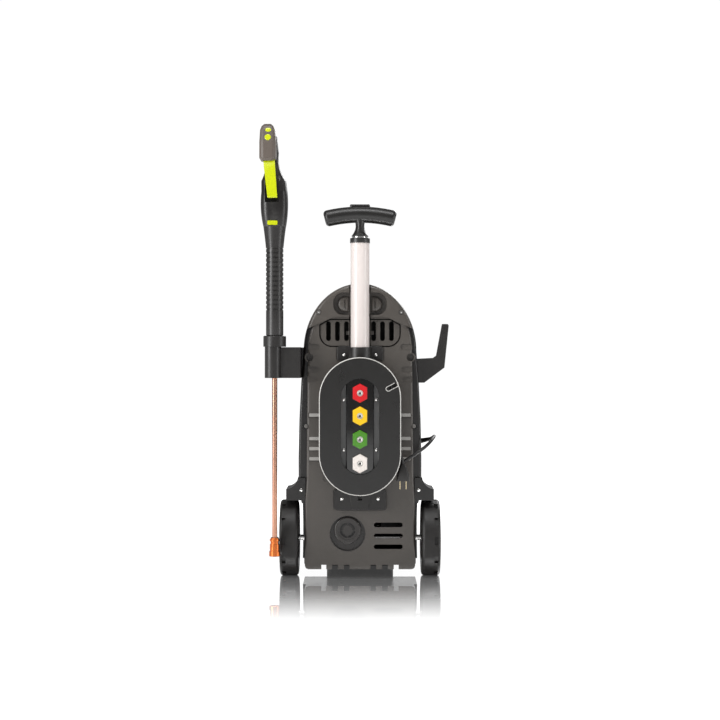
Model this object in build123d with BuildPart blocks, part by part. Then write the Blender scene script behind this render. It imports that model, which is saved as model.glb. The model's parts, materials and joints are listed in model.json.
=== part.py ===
"""Upright electric pressure washer, in millimetres.

Frame: +Z is up and -Y is the rear, the side that carries the cord winder and the handle. The origin is
on the floor under the middle of the front foot, on the machine's centre plane.
"""

import math
import os

from build123d import *

# ---------------------------------------------------------------- driving dimensions
rear_y = -245  # rear face of the rear cover
shell_rear_y = -226  # rear rim of the front shell
front_y = 30  # foremost face of the front shell
bottom_z = 18  # lower edge of the rear cover
floor_z = 29  # underside of the front shell
wall = 4

crown_z = 485  # centre height of the half ellipse that closes the top
crown_a = 121  # its half width
crown_b = 145  # its height
cover_inset = 10  # how far the rear cover lies inside the shell's crown

axle_y = -185
axle_z = 82
wheel_r = 82
wheel_inner_x = 132
wheel_outer_x = 171.7
axle_r = 6

tube_y = rear_y  # axis of the telescopic handle
tube_r = 20
tube_bottom_z = 390
tube_top_z = 721
inner_r = 16.5
channel_r = 23

winder_z = 326.6  # centre height of the oval cord winder
winder_straight = 118.5  # distance between the centres of its two round ends
plate_r = 85.75
hub_r = 46
well_r = 39.8
well_straight = 121.4
flange_y = -274  # rear face of the winder's back flange
plate_y = -310  # front side of the winding space
plate_face_y = -315
tray_face_y = -305

cord_d = 7
cord_pitch = 7.05

lance_x = -180
lance_y = -281

nozzle_heights = {"red": 396.7, "yellow": 349.1, "green": 300.0, "white": 249.8}
nozzle_flats = 30.2
nozzle_points = 40.2
nozzle_side = 23.6

inlet_x = -26.5
inlet_z = 100
pump_y = -110  # axis of the motor and the pump
knob_z = 430
outlet_z = 120

screw_r = 3.6  # head
shank_r = 1.7


# ---------------------------------------------------------------- shared planes and outlines
def rear_plane(y):
    """Plane across the machine at depth y, drawn as seen from behind; extrusions run towards -Y."""
    return Plane(origin=(0, y, 0), x_dir=(1, 0, 0), z_dir=(0, -1, 0))


def side_plane(x):
    """Plane at a constant x with local x along +Y and local y along +Z; extrusions run towards +X."""
    return Plane(origin=(x, 0, 0), x_dir=(0, 1, 0), z_dir=(1, 0, 0))


def mirrored(points):
    """A closed outline made of the right half's points and their reflections."""
    return list(points) + [(-x, z) for x, z in reversed(points)]


def shell_outline(inset=0):
    """Silhouette of the casing above and between the wheels."""
    with Locations((0, crown_z)):
        Ellipse(crown_a - inset, crown_b - inset)
    right = [(121, crown_z), (126, 419), (130, 338), (132, 257), (132, 206), (126, 168), (126, floor_z)]
    Polygon(*mirrored([(x - inset, max(z, floor_z + inset)) for x, z in right]))


def cover_outline(inset=0):
    """Raised rear cover, which lies inside the casing's silhouette."""
    with Locations((0, crown_z)):
        Ellipse(crown_a - cover_inset - inset, crown_b - cover_inset - inset)
    right = [(111, crown_z), (112, 419), (114, 212), (117, 168), (118, bottom_z + 8), (116, bottom_z + 2.5),
             (111, bottom_z)]
    Polygon(*mirrored([(x - inset, max(z, bottom_z + inset)) for x, z in right]))


def above_crease():
    """Everything above the line where the top cap overhangs the cover."""
    right = [(140, 518), (112, 533), (60, 556), (50, 558)]
    Polygon(*mirrored([(140, 660)] + right))


def racetrack(radius, straight=winder_straight, mode=Mode.ADD):
    """Upright racetrack about the winder's centre."""
    with Locations((0, winder_z)):
        SlotCenterToCenter(straight, 2 * radius, rotation=90, mode=mode)


def save(part, name):
    """Label the finished part and write its STEP file."""
    part.label = name
    export_step(part, f"parts/{name}.step")


os.makedirs("parts", exist_ok=True)



def block(plane, amount, draw):
    """A separate solid: the outline that draw() makes on the plane, extruded."""
    with BuildPart() as solid:
        with BuildSketch(plane):
            draw()
        extrude(amount=amount)
    return solid.part


def disc(x, z, face, depth, radius):
    """A cylinder whose axis runs along Y, from its rear face forward by depth."""

    def draw():
        with Locations((x, z)):
            Circle(radius)

    return block(rear_plane(face + depth), depth, draw)


# ---------------------------------------------------------------- tools shared by the casing parts
def channel_outline():
    with Locations((0, tube_y)):
        Circle(channel_r)


handle_channel = block(Plane.XY.offset(465), 200, channel_outline)
envelope = block(rear_plane(front_y), front_y - shell_rear_y, shell_outline)

deep_wells = [(side * x, z, r) for side in (-1, 1) for x, z, r in ((107.5, 471.7, 8), (115.5, 324, 7))]
fender_screws = [(side * 125.5, 188) for side in (-1, 1)]
well_floor_y = shell_rear_y + 7
cap_screws = [(side * 88, 568) for side in (-1, 1)]
collar_screws = [(side * 33.5, 476.5) for side in (-1, 1)]
rail_screws = [(side * 34.2, z) for side in (-1, 1) for z in (276.7, 383)]
bracket_screws = [(side * 38.4, 170.6) for side in (-1, 1)]

# ---------------------------------------------------------------- front shell
fender_rear_y = -238


def fender_outline():
    """A ledge over each wheel that sweeps up into the casing's flank in a hollow curve."""
    for side in (-1, 1):
        Polygon(*[(side * x, z) for x, z in ((117, 166), (158, 166), (158, 214), (117, 214))])
        with Locations((side * 160, 217)):
            Circle(27, mode=Mode.SUBTRACT)


def front_vents():
    for side in (-1, 1):
        with GridLocations(0, 13, 1, 7):
            with Locations((side * 88, 340)):
                SlotOverall(34, 6)


with BuildPart() as front_shell:
    with BuildSketch(rear_plane(front_y)):
        shell_outline()
    extrude(amount=front_y - shell_rear_y)
    fillet(front_shell.faces().sort_by(Axis.Y)[-1].edges(), 12)
    fillet(front_shell.faces().sort_by(Axis.Y)[0].edges(), 6)
    with BuildSketch(rear_plane(-128)):
        fender_outline()
    extrude(amount=-128 - fender_rear_y)
    with BuildSketch(rear_plane(front_y - 8)):
        shell_outline(wall)
    extrude(amount=front_y - 8 - (shell_rear_y + 3), mode=Mode.SUBTRACT)
    with BuildSketch(rear_plane(shell_rear_y + 5)):
        cover_outline(6)
    extrude(amount=10, mode=Mode.SUBTRACT)
    for x, z, radius in deep_wells:
        with BuildSketch(rear_plane(shell_rear_y + 16)):
            with Locations((x, z)):
                Circle(radius + 2.5)
        extrude(amount=14)
        with BuildSketch(rear_plane(well_floor_y)):
            with Locations((x, z)):
                Circle(radius)
        extrude(amount=20, mode=Mode.SUBTRACT)
        with BuildSketch(rear_plane(well_floor_y + 6)):
            with Locations((x, z)):
                Circle(shank_r)
        extrude(amount=10, mode=Mode.SUBTRACT)
    with BuildSketch(side_plane(-180)):
        with Locations((axle_y, axle_z)):
            Circle(wheel_r + 4.5)
    extrude(amount=180 - 119.5, mode=Mode.SUBTRACT)
    with BuildSketch(side_plane(119.5)):
        with Locations((axle_y, axle_z)):
            Circle(wheel_r + 4.5)
    extrude(amount=180 - 119.5, mode=Mode.SUBTRACT)
    with BuildSketch(side_plane(-130)):
        with Locations((axle_y, axle_z)):
            Circle(axle_r + 0.05)
    extrude(amount=260, mode=Mode.SUBTRACT)
    with BuildSketch(rear_plane(front_y + 1)):
        front_vents()
        with Locations((0, outlet_z)):
            Circle(17.1)
        with Locations((0, knob_z)):
            Circle(9)
    extrude(amount=20, mode=Mode.SUBTRACT)
    with BuildSketch(side_plane(110)):
        with Locations((-128, 289)):
            Circle(7.1)
    extrude(amount=30, mode=Mode.SUBTRACT)
    for x, z in fender_screws:
        add(disc(x, z, fender_rear_y - 1, 14, shank_r), mode=Mode.SUBTRACT)
    add(handle_channel, mode=Mode.SUBTRACT)
save(front_shell.part, "front_shell")

# ---------------------------------------------------------------- rear cover
cover_wall = 5
curve_top_z = 84  # below this height the rear face curves forward
ridge_tops = (353, 303, 281.6, 260)
vent_half = 84.5
vent_bottom = 496
vent_top = 551.5
dish_r = 38
trench_width = 2.4
trench_depth = 2.2


def cover_block(inset, face):
    """Block with the cover's outline whose lower end curves forward from the given rear face."""
    with BuildPart() as solid:
        with BuildSketch(rear_plane(shell_rear_y)):
            cover_outline(inset)
        extrude(amount=shell_rear_y - face)
        if inset == 0:
            fillet(solid.faces().sort_by(Axis.Y)[0].edges(), 5)
        with BuildSketch(side_plane(-130)):
            with BuildLine():
                ThreePointArc((face, curve_top_z), (face + 4.06, 50), (face + 17, 16))
                Polyline((face + 17, 16), (face - 5, 16), (face - 5, curve_top_z), (face, curve_top_z))
            make_face()
        extrude(amount=260, mode=Mode.SUBTRACT)
    return solid.part


def vent_outline():
    """U-shaped opening of the vent panel with large lower corners."""
    middle = (vent_bottom + vent_top) / 2
    with Locations((0, middle)):
        Rectangle(2 * vent_half, vent_top - vent_bottom)
    for side in (-1, 1):
        corner = 25
        with Locations((side * (vent_half - corner / 2), vent_bottom + corner / 2)):
            Rectangle(corner, corner, mode=Mode.SUBTRACT)
        with Locations((side * (vent_half - corner), vent_bottom + corner)):
            Circle(corner)
        Polygon(*[(side * x, z) for x, z in ((64, vent_top), (vent_half, 540), (vent_half, vent_top))],
                mode=Mode.SUBTRACT)


def ridge_profile(top):
    Polygon((rear_y + 1, top), (rear_y, top), (rear_y - 3.6, top - 8), (rear_y, top - 9.4), (rear_y + 1, top - 9.4))


def cover_openings():
    with Locations((0, 343.5)):
        Rectangle(52, 307)
    with Locations((inlet_x, inlet_z - 4)):
        Circle(dish_r)
    for z in (114.5, 91, 67.7):
        with Locations((60.4, z)):
            SlotOverall(61.6, 10)
    for x, width in ((28.5, 12), (53.5, 12), (77.5, 10.5)):
        with Locations((x, bottom_z + 4), (-x, bottom_z + 4)):
            Rectangle(width, 12)


def trench_ring(z, width, height, corner):
    """The groove round a plate that is screwed to the cover."""
    with Locations((0, z)):
        RectangleRounded(width + 2 * trench_width, height + 2 * trench_width, corner + trench_width)
        RectangleRounded(width - 0.4, height - 0.4, corner - 0.2, mode=Mode.SUBTRACT)


def side_pills():
    for z, inner in ((494, 86), (446, 88), (424.5, 90)):
        for side in (-1, 1):
            with Locations((side * (inner + 20), z)):
                SlotOverall(40, 12.7)


with BuildPart() as rear_cover:
    add(cover_block(0, rear_y))
    add(cover_block(cover_wall, rear_y + cover_wall), mode=Mode.SUBTRACT)
    for side in (-1, 1):
        for top in ridge_tops:
            with BuildSketch(side_plane(side * 78 - 32)):
                ridge_profile(top)
            extrude(amount=64)
    for side in (-1, 1):
        add(disc(side * 107.5, 471.7, rear_y + 3, 12, 10.5))
    with BuildSketch(rear_plane(shell_rear_y + 1)):
        above_crease()
    extrude(amount=30, mode=Mode.SUBTRACT)
    with BuildSketch(rear_plane(shell_rear_y + 1)):
        vent_outline()
        offset(amount=trench_width)
        cover_openings()
    extrude(amount=30, mode=Mode.SUBTRACT)
    with BuildSketch(rear_plane(rear_y + trench_depth)):
        trench_ring(169, 109.6, 42.9, 6)
        trench_ring(480, 97, 30, 4)
    extrude(amount=trench_depth + 2, mode=Mode.SUBTRACT)
    with BuildSketch(rear_plane(rear_y + 3)):
        side_pills()
    extrude(amount=8, mode=Mode.SUBTRACT)
    for x, z, radius in deep_wells:
        add(disc(x, z, rear_y - 4, 16, radius), mode=Mode.SUBTRACT)
        add(disc(x, z, rear_y, 30, shank_r), mode=Mode.SUBTRACT)
    for x, z in bracket_screws + collar_screws:
        add(disc(x, z, rear_y - 2, 12, shank_r), mode=Mode.SUBTRACT)
    add(handle_channel, mode=Mode.SUBTRACT)
    add(envelope, mode=Mode.SUBTRACT)
    add(disc(-72.4, 213.8, rear_y - 5, 6, 11.5))
    add(disc(-72.4, 213.8, rear_y - 6, 3, 7), mode=Mode.SUBTRACT)
save(rear_cover.part, "rear_cover")

# ---------------------------------------------------------------- vent grille
grille_face = rear_y + 4


def grille_slots():
    for x in (28.8, 48, 67.2):
        for side in (-1, 1):
            with Locations((side * x, 527.5)):
                SlotOverall(42, 10, rotation=90)


with BuildPart() as vent_grille:
    with BuildSketch(rear_plane(grille_face + 3)):
        vent_outline()
    extrude(amount=3)
    with BuildSketch(rear_plane(grille_face + 6)):
        with Locations((0, 524)):
            Rectangle(2 * vent_half - 50, 8)
    extrude(amount=3)
    with BuildSketch(rear_plane(shell_rear_y + 8)):
        with Locations((0, 524)):
            Rectangle(60, 8)
    extrude(amount=shell_rear_y + 8 - grille_face - 3)
    with BuildSketch(rear_plane(grille_face + 7)):
        grille_slots()
    extrude(amount=8, mode=Mode.SUBTRACT)
    with BuildSketch(rear_plane(grille_face + 7)):
        above_crease()
    extrude(amount=8, mode=Mode.SUBTRACT)
    add(handle_channel, mode=Mode.SUBTRACT)
save(vent_grille.part, "vent_grille")

# ---------------------------------------------------------------- top cap with its finger recess
cap_face = rear_y - 4
recess_depth = 16


with BuildPart() as cap_lid:
    with BuildSketch(rear_plane(shell_rear_y)):
        shell_outline(1)
    extrude(amount=shell_rear_y - cap_face)
    fillet(cap_lid.faces().sort_by(Axis.Y)[0].edges(), 9)

with BuildPart() as top_cap:
    with BuildSketch(rear_plane(shell_rear_y)):
        above_crease()
    extrude(amount=30)
    add(cap_lid.part, mode=Mode.INTERSECT)
    with BuildSketch(rear_plane(cap_face + recess_depth)):
        with Locations((0, 586)):
            RectangleRounded(114, 48, 21)
    extrude(amount=recess_depth + 4, mode=Mode.SUBTRACT)
    with BuildSketch(rear_plane(shell_rear_y + 9)):
        with Locations((0, 580)):
            Rectangle(90, 30)
    extrude(amount=9)
    for x, z in cap_screws:
        add(disc(x, z, cap_face - 1, 5, 5.5), mode=Mode.SUBTRACT)
        add(disc(x, z, cap_face, 24, shank_r), mode=Mode.SUBTRACT)
    add(handle_channel, mode=Mode.SUBTRACT)
save(top_cap.part, "top_cap")

# ---------------------------------------------------------------- handle collar and guide sleeve
collar_r = 25
tube_fit = 0.06

with BuildPart() as handle_collar:
    with BuildSketch(rear_plane(rear_y)):
        with Locations((0, 480)):
            RectangleRounded(97, 30, 4)
    extrude(amount=4)
    with BuildSketch(Plane.XY.offset(470)):
        with Locations((0, tube_y)):
            Circle(collar_r)
    extrude(amount=23)
    fillet(handle_collar.faces().sort_by(Axis.Z)[-1].edges().sort_by(Axis.Y)[0], 1.5)
    with BuildSketch(Plane.XY.offset(460)):
        with Locations((0, tube_y)):
            Circle(tube_r + tube_fit)
    extrude(amount=40, mode=Mode.SUBTRACT)
    for x, z in collar_screws:
        add(disc(x, z, rear_y - 6, 12, shank_r), mode=Mode.SUBTRACT)
save(handle_collar.part, "handle_collar")

with BuildPart() as handle_guide:
    with BuildSketch(Plane.XY.offset(196)):
        with Locations((0, tube_y)):
            Circle(collar_r)
            Circle(tube_r + 0.5, mode=Mode.SUBTRACT)
    extrude(amount=268.9)
    with BuildSketch(Plane.XY.offset(194)):
        with Locations((0, tube_y)):
            Circle(collar_r)
    extrude(amount=3)
save(handle_guide.part, "handle_guide")

# ---------------------------------------------------------------- cord winder
flange_front = flange_y + 3
notch_angle = 27.6

with BuildPart() as winder_hub:
    with BuildSketch(rear_plane(flange_front)):
        racetrack(82)
    extrude(amount=3)
    with BuildSketch(rear_plane(flange_y)):
        racetrack(hub_r)
        racetrack(well_r + 2, well_straight - 4)
    extrude(amount=flange_y - plate_y)
    with BuildSketch(rear_plane(flange_y)):
        racetrack(well_r + 2, well_straight - 4)
    extrude(amount=40, mode=Mode.SUBTRACT)
    with BuildSketch(rear_plane(rear_y)):
        for side in (-1, 1):
            with Locations((side * 36, winder_z)):
                Rectangle(10, 190)
    extrude(amount=rear_y - flange_front)
save(winder_hub.part, "winder_hub")

with BuildPart() as winder_plate:
    with BuildSketch(rear_plane(plate_y)):
        racetrack(plate_r)
    extrude(amount=plate_y - plate_face_y)
    fillet(winder_plate.faces().sort_by(Axis.Y)[0].edges(), 1.6)
    with BuildSketch(rear_plane(plate_y + 1)):
        racetrack(well_r, well_straight)
        with Locations((78, 415.4)):
            SlotOverall(42, 8, rotation=notch_angle)
    extrude(amount=12, mode=Mode.SUBTRACT)
save(winder_plate.part, "winder_plate")

rail_face_y = -298
tray_half = 29

with BuildPart() as nozzle_tray:
    with BuildSketch(rear_plane(flange_y)):
        racetrack(well_r + 1.6, well_straight - 4)
        with Locations((0, winder_z)):
            Rectangle(2 * tray_half, 240, mode=Mode.INTERSECT)
    extrude(amount=flange_y - tray_face_y)
    fillet(nozzle_tray.faces().sort_by(Axis.Y)[0].edges().filter_by(Axis.Z), 2)
    for z in nozzle_heights.values():
        add(disc(0, z, tray_face_y - 1, 23, 5.1), mode=Mode.SUBTRACT)
save(nozzle_tray.part, "nozzle_tray")

with BuildPart() as well_rails:
    with BuildSketch(rear_plane(flange_y)):
        racetrack(well_r + 1.6, well_straight - 4)
        with Locations((0, winder_z)):
            Rectangle(2 * tray_half + 0.4, 240, mode=Mode.SUBTRACT)
    extrude(amount=flange_y - rail_face_y)
    for x, z in rail_screws:
        add(disc(x, z, rail_face_y - 1, 14, shank_r), mode=Mode.SUBTRACT)
save(well_rails.part, "well_rails")

# ---------------------------------------------------------------- spray nozzles
guard_back = tray_face_y - 0.4
guard_front = guard_back - 17.6


def guard_outline(z):
    half = nozzle_flats / 2
    side = nozzle_side / 2
    point = nozzle_points / 2
    Polygon((half, z + side), (0, z + point), (-half, z + side), (-half, z - side), (0, z - point), (half, z - side))


def make_nozzle(colour, z):
    """Hexagonal guard and the metal core that it grips."""
    with BuildPart() as guard:
        with BuildSketch(rear_plane(guard_back)):
            guard_outline(z)
        extrude(amount=guard_back - guard_front)
        chamfer(guard.faces().sort_by(Axis.Y)[0].edges(), 1.5)
        add(disc(0, z, guard_front - 1, 20, 6.5), mode=Mode.SUBTRACT)
    save(guard.part, f"nozzle_guard_{colour}")
    with BuildPart() as core:
        add(disc(0, z, guard_front + 1, 16.6, 6.45))
        add(disc(0, z, guard_back - 1, 22, 5.03))
        add(disc(0, z, guard_front - 1, 10, 2.7), mode=Mode.SUBTRACT)
    save(core.part, f"nozzle_core_{colour}")


for colour, height in nozzle_heights.items():
    make_nozzle(colour, height)

# ---------------------------------------------------------------- lower bracket
bracket_face = rear_y - 12

with BuildPart() as lower_bracket:
    with BuildSketch(rear_plane(rear_y)):
        with Locations((0, 169)):
            RectangleRounded(109.6, 42.9, 6)
    extrude(amount=rear_y - bracket_face)
    with BuildSketch(rear_plane(bracket_face)):
        Polygon((-24, 190), (24, 190), (17, 148), (-17, 148))
    extrude(amount=3)
    fillet(lower_bracket.faces().sort_by(Axis.Y)[0].edges(), 1)
    with BuildSketch(rear_plane(rear_y + 1)):
        with Locations((0, 172)):
            Rectangle(8.5, 8.5)
    extrude(amount=20, mode=Mode.SUBTRACT)
    for x, z in bracket_screws:
        add(disc(x, z, bracket_face - 1, 4, screw_r + 1), mode=Mode.SUBTRACT)
        add(disc(x, z, bracket_face - 1, 20, shank_r), mode=Mode.SUBTRACT)
save(lower_bracket.part, "lower_bracket")

# ---------------------------------------------------------------- lance holder and side hook
holder_x = -183.5

with BuildPart() as lance_holder:
    with BuildSketch(Plane.XY.offset(428)):
        with Locations((holder_x, lance_y)):
            Circle(17.5)
    extrude(amount=89)
    with BuildSketch(Plane.XY.offset(494)):
        with Locations((lance_x, lance_y)):
            Circle(24)
    extrude(amount=23)
    chamfer(lance_holder.faces().sort_by(Axis.Z)[-1].edges(), 1.5)
    with BuildSketch(Plane.XY.offset(428)):
        Polygon((-176, -285), (-120, -285), (-120, -160), (-134, -160), (-134, -262), (-176, -262))
    extrude(amount=65)
    with BuildSketch(Plane.XY.offset(420)):
        with Locations((lance_x, lance_y)):
            Circle(13)
    extrude(amount=110, mode=Mode.SUBTRACT)
    add(envelope, mode=Mode.SUBTRACT)
    with BuildSketch(Plane.XY.offset(420)):
        with Locations((-90, -255)):
            Rectangle(71, 80)
    extrude(amount=110, mode=Mode.SUBTRACT)
save(lance_holder.part, "lance_holder")

hook_rear_y = -218
hook_front_y = -184

with BuildPart() as side_hook:
    with BuildSketch(rear_plane(hook_front_y)):
        Polygon((118, 468.5), (157.5, 470.6), (164.5, 475.3), (177.2, 543.4), (191, 543.4), (181.4, 449.6),
                (138, 417.2), (118, 417.2))
    extrude(amount=hook_front_y - hook_rear_y)
    fillet(side_hook.edges().filter_by(Axis.Y).group_by(Axis.X)[-1], 4)
    chamfer(side_hook.faces().sort_by(Axis.Y)[0].edges(), 1.2)
    add(envelope, mode=Mode.SUBTRACT)
save(side_hook.part, "side_hook")

# ---------------------------------------------------------------- water inlet
ring_z = 103.5

with BuildPart() as inlet_socket:
    add(disc(inlet_x, inlet_z - 4, rear_y + 1, 13, dish_r - 0.1))
    add(disc(inlet_x, inlet_z - 4, rear_y, 10, dish_r - 1.2), mode=Mode.SUBTRACT)
    add(disc(inlet_x, ring_z, rear_y - 5, 17, 20.6))
    add(disc(inlet_x, ring_z, rear_y - 6, 3, 16.2), mode=Mode.SUBTRACT)
    with BuildSketch(rear_plane(rear_y)):
        with Locations((inlet_x, ring_z)):
            Circle(15)
            Circle(10.5, mode=Mode.SUBTRACT)
            Rectangle(1.6, 40, mode=Mode.SUBTRACT)
            Rectangle(40, 1.6, mode=Mode.SUBTRACT)
    extrude(amount=5, mode=Mode.SUBTRACT)
save(inlet_socket.part, "inlet_socket")


with BuildPart() as inlet_collar:
    add(disc(inlet_x, ring_z, rear_y - 7.3, 15, 28.4))
    fillet(inlet_collar.faces().sort_by(Axis.Y)[0].edges(), 3)
    add(disc(inlet_x, ring_z, rear_y - 9, 20, 20.65), mode=Mode.SUBTRACT)
save(inlet_collar.part, "inlet_collar")

# ---------------------------------------------------------------- screws: pan heads with a star recess
head_depth = 2.2


def screw(x, z, seat, radius, length):
    """Screw whose head sits on the rear-facing seat and whose shank runs forward."""
    with BuildPart() as one:
        add(disc(x, z, seat - head_depth, head_depth, radius))
        add(disc(x, z, seat, length, shank_r - 0.05))
        with BuildSketch(rear_plane(seat - 0.8)):
            with Locations((x, z)):
                RegularPolygon(radius * 0.5, 6)
        extrude(amount=head_depth, mode=Mode.SUBTRACT)
    return one.part


with BuildPart() as screws:
    for x, z, radius in deep_wells:
        add(screw(x, z, well_floor_y, radius * 0.62, 6))
    for x, z in cap_screws:
        add(screw(x, z, cap_face + 4, screw_r + 0.9, 15))
    for x, z in collar_screws:
        add(screw(x, z, rear_y - 4, screw_r, 6))
    for x, z in rail_screws:
        add(screw(x, z, rail_face_y, screw_r, 8))
    for x, z in bracket_screws:
        add(screw(x, z, bracket_face + 3, screw_r, 12))
    for x, z in fender_screws:
        add(screw(x, z, fender_rear_y, screw_r, 8))
save(screws.part, "screws")

# ---------------------------------------------------------------- power cord
gland_y = -128
gland_z = 289
winding_r = hub_r + 4 * cord_pitch
lower_turn_z = winder_z - winder_straight / 2

lead_route = [
    (136.5, -128, 289),
    (150, -140, 292),
    (159, -166, 298),
    (161, -200, 303),
    (156, -234, 298),
    (143, -261, 285),
    (122, -277, 270.5),
    (97, -281, 255),
    (74, -279, 238),
    (62, -278, 230),
]
tail_route = [
    (71.5, -297, 312),
    (73, -299, 292),
    (81, -300.5, 273),
    (88.5, -300, 259),
    (90.3, -300, 246),
]


def bend_radii(route):
    """For each corner, 0.45 of its shorter run over the tangent of half the turn."""
    radii = []
    for before, corner, after in zip(route, route[1:], route[2:]):
        run_in = Vector(*corner) - Vector(*before)
        run_out = Vector(*after) - Vector(*corner)
        half_turn = math.radians(run_in.get_angle(run_out)) / 2
        radii.append(0.45 * min(run_in.length, run_out.length) / math.tan(half_turn))
    return radii


def cord_tube(route, name):
    """Round cord swept along straight runs joined by tangent arcs."""
    radii = bend_radii(route)
    with BuildPart() as tube:
        with BuildLine() as path:
            FilletPolyline(*route, radius=radii)
        with BuildSketch(Plane(origin=path.line @ 0, z_dir=path.line % 0)):
            Circle(cord_d / 2)
        sweep(path=path.wire())
    expected = math.pi * (cord_d / 2) ** 2 * path.wire().length
    print(name, "radii", [round(r) for r in radii], "volume ratio", round(tube.part.volume / expected, 4),
          "length", round(path.wire().length))
    save(tube.part, name)


lead_start = Plane(origin=lead_route[0], z_dir=Vector(*lead_route[1]) - Vector(*lead_route[0]))

with BuildPart() as cord_gland:
    with BuildSketch(side_plane(124)):
        with Locations((gland_y, gland_z)):
            Circle(7)
    extrude(amount=7)
    with BuildSketch(side_plane(131)):
        with Locations((gland_y, gland_z)):
            Circle(9)
    extrude(amount=3)
    with BuildSketch(lead_start.offset(-4.5)):
        Circle(6.2)
    with BuildSketch(lead_start):
        Circle(4.4)
    loft()
save(cord_gland.part, "cord_gland")

cord_tube(lead_route, "cord_lead")
cord_tube(tail_route, "cord_tail")

with BuildPart() as cord_winding:
    with BuildSketch(rear_plane(flange_y - 0.3)):
        racetrack(winding_r)
        racetrack(hub_r + 0.05, mode=Mode.SUBTRACT)
    extrude(amount=flange_y - plate_y - 0.6)
save(cord_winding.part, "cord_winding")

plug_x = 90.3
plug_y = -300

with BuildPart() as plug_body:
    with BuildSketch(Plane.XY.offset(212)):
        with Locations((plug_x, plug_y)):
            RectangleRounded(27.4, 17, 5)
    with BuildSketch(Plane.XY.offset(228)):
        with Locations((plug_x, plug_y)):
            RectangleRounded(24, 17, 6)
    with BuildSketch(Plane.XY.offset(246)):
        with Locations((plug_x, plug_y)):
            RectangleRounded(11, 11, 4.5)
    loft()
save(plug_body.part, "plug_body")

with BuildPart() as plug_blades:
    for side in (-1, 1):
        with BuildSketch(Plane.XY.offset(195)):
            with Locations((plug_x + side * 6.35, plug_y)):
                Rectangle(1.5, 6.4)
        extrude(amount=17)
save(plug_blades.part, "plug_blades")

# ---------------------------------------------------------------- chassis, motor and pump
frame_floor_z = floor_z + wall + 0.3

with BuildPart() as base_frame:
    with BuildSketch(Plane.XY.offset(frame_floor_z)):
        with Locations((0, pump_y)):
            RectangleRounded(200, 150, 10)
    extrude(amount=5)
    for side in (-1, 1):
        with BuildSketch(side_plane(side * 100 - 5)):
            Polygon((-200, frame_floor_z), (-40, frame_floor_z), (-90, 215), (-130, 215), (-198, 110))
            with Locations((axle_y, axle_z)):
                Circle(axle_r + 0.05, mode=Mode.SUBTRACT)
            with Locations((-112, 150)):
                Circle(22, mode=Mode.SUBTRACT)
        extrude(amount=10)
    with BuildSketch(Plane.XY.offset(207)):
        with Locations((0, pump_y)):
            Rectangle(205, 36)
            Circle(30, mode=Mode.SUBTRACT)
    extrude(amount=8)
save(base_frame.part, "base_frame")

with BuildPart() as axle:
    with BuildSketch(side_plane(-162)):
        with Locations((axle_y, axle_z)):
            Circle(axle_r)
    extrude(amount=324)
    chamfer(axle.edges().filter_by(GeomType.CIRCLE), 0.8)
save(axle.part, "axle")


def upright_disc(radius, low, high):
    """A cylinder on the pump axis between two heights."""

    def draw():
        with Locations((0, pump_y)):
            Circle(radius)

    return block(Plane.XY.offset(low), high - low, draw)


with BuildPart() as motor_housing:
    add(upright_disc(66, 215.3, 400))
    fillet(motor_housing.faces().sort_by(Axis.Z)[-1].edges(), 8)
    add(upright_disc(58, 222, 390), mode=Mode.SUBTRACT)
    add(upright_disc(31, 210, 230), mode=Mode.SUBTRACT)
save(motor_housing.part, "motor_housing")

with BuildPart() as rotor:
    add(upright_disc(6, 182, 384))
    add(upright_disc(30, 240, 330))
    with BuildSketch(Plane.XY.offset(350)):
        with Locations((0, pump_y)):
            Circle(22)
            with PolarLocations(36, 8):
                Rectangle(34, 3)
    extrude(amount=20)
    add(upright_disc(24, 184, 192))
save(rotor.part, "rotor")

with BuildPart() as pump_head:
    add(upright_disc(46, 95, 206))
    add(upright_disc(36, 176, 207), mode=Mode.SUBTRACT)
    with BuildSketch(rear_plane(-20)):
        with Locations((0, outlet_z)):
            Circle(16)
    extrude(amount=70)
    add(disc(inlet_x, ring_z, -168, 60, 12))
    add(upright_disc(36, 176, 207), mode=Mode.SUBTRACT)
save(pump_head.part, "pump_head")

with BuildPart() as suction_pipe:
    add(disc(inlet_x, ring_z, rear_y + 14, 63, 9))
save(suction_pipe.part, "suction_pipe")

with BuildPart() as outlet_fitting:
    add(disc(0, outlet_z, -20, 50, 12))
    add(disc(0, outlet_z, front_y - 8, 14, 17))
    add(disc(0, outlet_z, front_y + 6, 16, 11))
    chamfer(outlet_fitting.faces().sort_by(Axis.Y)[-1].edges(), 1)
    add(disc(0, outlet_z, front_y - 4, 40, 4), mode=Mode.SUBTRACT)
save(outlet_fitting.part, "outlet_fitting")

with BuildPart() as front_foot:
    with BuildSketch(Plane.XY):
        RectangleRounded(150, 34, 8)
    extrude(amount=floor_z)
    fillet(front_foot.faces().sort_by(Axis.Z)[0].edges(), 2)
save(front_foot.part, "front_foot")

panel_depth = 4


with BuildPart() as front_panel:
    with BuildSketch(rear_plane(front_y + panel_depth)):
        with Locations((0, 316)):
            RectangleRounded(146, 452, 58)
    extrude(amount=panel_depth)
    chamfer(front_panel.faces().sort_by(Axis.Y)[-1].edges(), 1.5)
    with BuildSketch(rear_plane(front_y + 10)):
        with Locations((0, outlet_z)):
            Circle(19)
        with Locations((0, knob_z)):
            Circle(9)
    extrude(amount=20, mode=Mode.SUBTRACT)
save(front_panel.part, "front_panel")

with BuildPart() as power_knob:
    add(disc(0, knob_z, front_y + panel_depth + 0.4, 12, 26))
    chamfer(power_knob.faces().sort_by(Axis.Y)[-1].edges(), 2)
    with BuildSketch(rear_plane(front_y + panel_depth + 22)):
        with Locations((0, knob_z)):
            SlotOverall(46, 11, rotation=90)
    extrude(amount=16)
    add(disc(0, knob_z, front_y - 12, 20, 8.6))
save(power_knob.part, "power_knob")

# ---------------------------------------------------------------- wheels
hub_outer_r = 62
bore_fit = 0.08


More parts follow.
